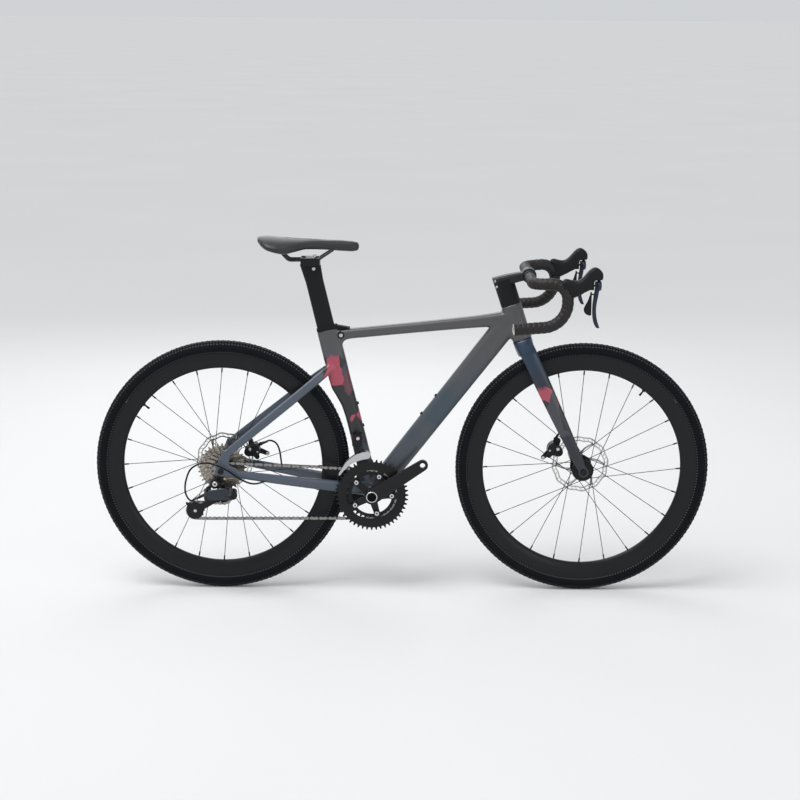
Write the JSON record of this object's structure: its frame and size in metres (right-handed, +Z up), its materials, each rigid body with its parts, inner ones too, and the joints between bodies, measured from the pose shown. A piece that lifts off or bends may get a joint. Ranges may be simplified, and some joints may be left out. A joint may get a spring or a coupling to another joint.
{
  "type": "gravel bike",
  "caption": "Drop-bar gravel bike with disc brakes, deep rims and aero tubes; wheels, crank, steering, levers, derailleurs and seatpost move.",
  "frame": {"origin": "on the ground midway between the wheel axles, in the bike's middle plane", "axes": "+X forward, +Y to the rider's left, +Z up"},
  "size_m": [1.694, 0.4608, 0.9875],
  "materials": {
    "frame_paint": "satin",
    "stay_paint": "satin",
    "fork_paint": "satin",
    "black_alloy": "satin",
    "grey_alloy": "satin",
    "rim_alloy": "satin",
    "steel": "brushed",
    "black_steel": "satin",
    "tyre": "matte",
    "rubber": "matte",
    "tape": "matte",
    "plastic": "matte",
    "saddle_cover": "matte"
  },
  "bodies": {
    "frame": {"head_tube": "frame_paint", "top_tube": "frame_paint", "down_tube": "frame_paint", "seat_tube": "frame_paint", "bottom_bracket_shell": "frame_paint", "chainstays": "stay_paint", "seatstays": "stay_paint", "derailleur_hanger": "black_alloy", "seat_clamp": "steel", "seat_clamp_cover": "rubber", "headset_bearings": "steel", "bottom_bracket_cups": "black_alloy", "front_derailleur_mount": "black_alloy", "rear_brake_caliper": "black_alloy", "rear_cable_housings": "rubber", "rear_axle": "black_alloy", "chain": "steel", "derailleur_knuckle": "black_alloy"},
    "fork": {"fork_crown": "fork_paint", "fork_legs": "fork_paint", "front_axle": "black_alloy", "headset_spacer": "plastic", "stem": "grey_alloy", "handlebar": "black_alloy", "bar_tape": "tape", "brake_hoods": "rubber", "front_brake_caliper": "black_alloy", "front_brake_housing": "rubber"},
    "front_wheel": {"front_tyre": "tyre", "front_rim": "rim_alloy", "front_spokes": "black_steel", "front_hub": "black_alloy", "front_rotor": "steel"},
    "rear_wheel": {"rear_tyre": "tyre", "rear_rim": "rim_alloy", "rear_spokes": "black_steel", "rear_hub": "black_alloy", "rear_rotor": "steel"},
    "cassette": {"cassette": "steel"},
    "crank": {"crank_arms": "black_alloy", "chainrings": "black_alloy"},
    "front_derailleur_cage": {"front_derailleur_cage": "steel"},
    "front_brake_arm": {"front_brake_arm": "black_alloy"},
    "rear_brake_arm": {"rear_brake_arm": "black_alloy"},
    "outer_link": {"derailleur_outer_link": "black_alloy"},
    "inner_link": {"derailleur_inner_link": "black_alloy"},
    "lower_knuckle": {"derailleur_lower_knuckle": "black_alloy"},
    "derailleur_cage": {"derailleur_cage": "black_alloy"},
    "guide_pulley": {"guide_pulley": "plastic"},
    "tension_pulley": {"tension_pulley": "plastic"},
    "seatpost": {"seatpost": "black_alloy", "saddle_clamp": "black_alloy", "saddle_rails": "black_steel", "saddle": "saddle_cover"},
    "lever_carrier_right": {"lever_carrier_right": "black_alloy"},
    "brake_lever_right": {"brake_lever_right": "black_alloy"},
    "shift_paddle_right": {"shift_paddle_right": "plastic"},
    "lever_carrier_left": {"lever_carrier_left": "black_alloy"},
    "brake_lever_left": {"brake_lever_left": "black_alloy"},
    "shift_paddle_left": {"shift_paddle_left": "plastic"}
  },
  "joints": [
    {"name": "steering", "type": "hinge", "parent": "frame", "child": "fork", "pos_m": [0.32361, 0, 0.71062], "axis": [-0.3173, 0, 0.9483], "range_deg": [-60, 60]},
    {"name": "front_wheel_spin", "type": "hinge", "parent": "fork", "child": "front_wheel", "pos_m": [0.497, 0, 0.35], "axis": [0, 1, 0], "continuous": true},
    {"name": "rear_wheel_spin", "type": "hinge", "parent": "frame", "child": "rear_wheel", "pos_m": [-0.497, 0, 0.35], "axis": [0, 1, 0], "continuous": true},
    {"name": "crank_spin", "type": "hinge", "parent": "frame", "child": "crank", "pos_m": [-0.08406, 0, 0.279], "axis": [0, 1, 0], "continuous": true, "deforming": ["chain", "rear_cable_housings"]},
    {"name": "cassette_spin", "type": "hinge", "parent": "frame", "child": "cassette", "pos_m": [-0.497, 0, 0.35], "axis": [0, 1, 0], "continuous": true},
    {"name": "derailleur_shift", "type": "hinge", "parent": "frame", "child": "outer_link", "pos_m": [-0.528, -0.092, 0.291], "axis": [0, 0.6428, 0.766], "range_deg": [0, 60], "stiffness_Nm_per_rad": 0.4, "springref_deg": -17.19},
    {"name": "inner_link_swing", "type": "hinge", "parent": "frame", "child": "inner_link", "pos_m": [-0.528, -0.08128, 0.282], "axis": [0, 0.6428, 0.766], "range_deg": [0, 60]},
    {"name": "lower_knuckle_swing", "type": "hinge", "parent": "outer_link", "child": "lower_knuckle", "pos_m": [-0.47936, -0.09857, 0.29651], "axis": [0, 0.6428, 0.766], "range_deg": [-60, 0]},
    {"name": "cage_swing", "type": "hinge", "parent": "lower_knuckle", "child": "derailleur_cage", "pos_m": [-0.464, -0.0652, 0.288], "axis": [0, -1, 0], "range_deg": [0, 65], "stiffness_Nm_per_rad": 0.5, "springref_deg": -17.19},
    {"name": "guide_pulley_spin", "type": "hinge", "parent": "derailleur_cage", "child": "guide_pulley", "pos_m": [-0.491, -0.0652, 0.279], "axis": [0, 1, 0], "continuous": true},
    {"name": "tension_pulley_spin", "type": "hinge", "parent": "derailleur_cage", "child": "tension_pulley", "pos_m": [-0.569, -0.0652, 0.237], "axis": [0, 1, 0], "continuous": true},
    {"name": "front_shift", "type": "slide", "parent": "frame", "child": "front_derailleur_cage", "axis": [0, -1, 0], "range_m": [0, 0.0065], "stiffness_N_per_m": 600, "springref_m": -0.003},
    {"name": "seat_height", "type": "slide", "parent": "frame", "child": "seatpost", "axis": [-0.2385, 0, 0.9711], "range_m": [-0.05, 0.02]},
    {"name": "brake_pull_right", "type": "hinge", "parent": "fork", "child": "lever_carrier_right", "pos_m": [0.48328, -0.199, 0.88641], "axis": [0, 1, 0], "range_deg": [0, 20], "stiffness_Nm_per_rad": 0.8, "springref_deg": -11.46},
    {"name": "lever_shift_right", "type": "hinge", "parent": "lever_carrier_right", "child": "brake_lever_right", "pos_m": [0.48328, -0.199, 0.88841], "axis": [1, 0, 0], "range_deg": [0, 12], "stiffness_Nm_per_rad": 0.4, "springref_deg": -11.46},
    {"name": "paddle_shift_right", "type": "hinge", "parent": "brake_lever_right", "child": "shift_paddle_right", "pos_m": [0.48328, -0.199, 0.86541], "axis": [1, 0, 0], "range_deg": [0, 15], "stiffness_Nm_per_rad": 0.2, "springref_deg": -11.46},
    {"name": "brake_pull_left", "type": "hinge", "parent": "fork", "child": "lever_carrier_left", "pos_m": [0.48328, 0.199, 0.88641], "axis": [0, 1, 0], "range_deg": [0, 20], "stiffness_Nm_per_rad": 0.8, "springref_deg": -11.46},
    {"name": "lever_shift_left", "type": "hinge", "parent": "lever_carrier_left", "child": "brake_lever_left", "pos_m": [0.48328, 0.199, 0.88841], "axis": [-1, 0, 0], "range_deg": [0, 12], "stiffness_Nm_per_rad": 0.4, "springref_deg": -11.46},
    {"name": "paddle_shift_left", "type": "hinge", "parent": "brake_lever_left", "child": "shift_paddle_left", "pos_m": [0.48328, 0.199, 0.86541], "axis": [-1, 0, 0], "range_deg": [0, 15], "stiffness_Nm_per_rad": 0.2, "springref_deg": -11.46},
    {"name": "front_brake_arm_swing", "type": "hinge", "parent": "fork", "child": "front_brake_arm", "pos_m": [0.42446, 0.0386, 0.39188], "axis": [0, 1, 0], "range_deg": [0, 25]},
    {"name": "rear_brake_arm_swing", "type": "hinge", "parent": "frame", "child": "rear_brake_arm", "pos_m": [-0.4188, 0.055, 0.38002], "axis": [0, -1, 0], "range_deg": [0, 25]}
  ],
  "couplings": [
    {"joint": "cassette_spin", "follows": "crank_spin", "ratio": 3.0909},
    {"joint": "tension_pulley_spin", "follows": "crank_spin", "ratio": 3.0909},
    {"joint": "guide_pulley_spin", "follows": "crank_spin", "ratio": -3.0909},
    {"joint": "inner_link_swing", "follows": "derailleur_shift", "ratio": 1},
    {"joint": "lower_knuckle_swing", "follows": "derailleur_shift", "ratio": -1},
    {"joint": "front_brake_arm_swing", "follows": "brake_pull_left", "ratio": 1.25},
    {"joint": "rear_brake_arm_swing", "follows": "brake_pull_right", "ratio": 1.25}
  ]
}
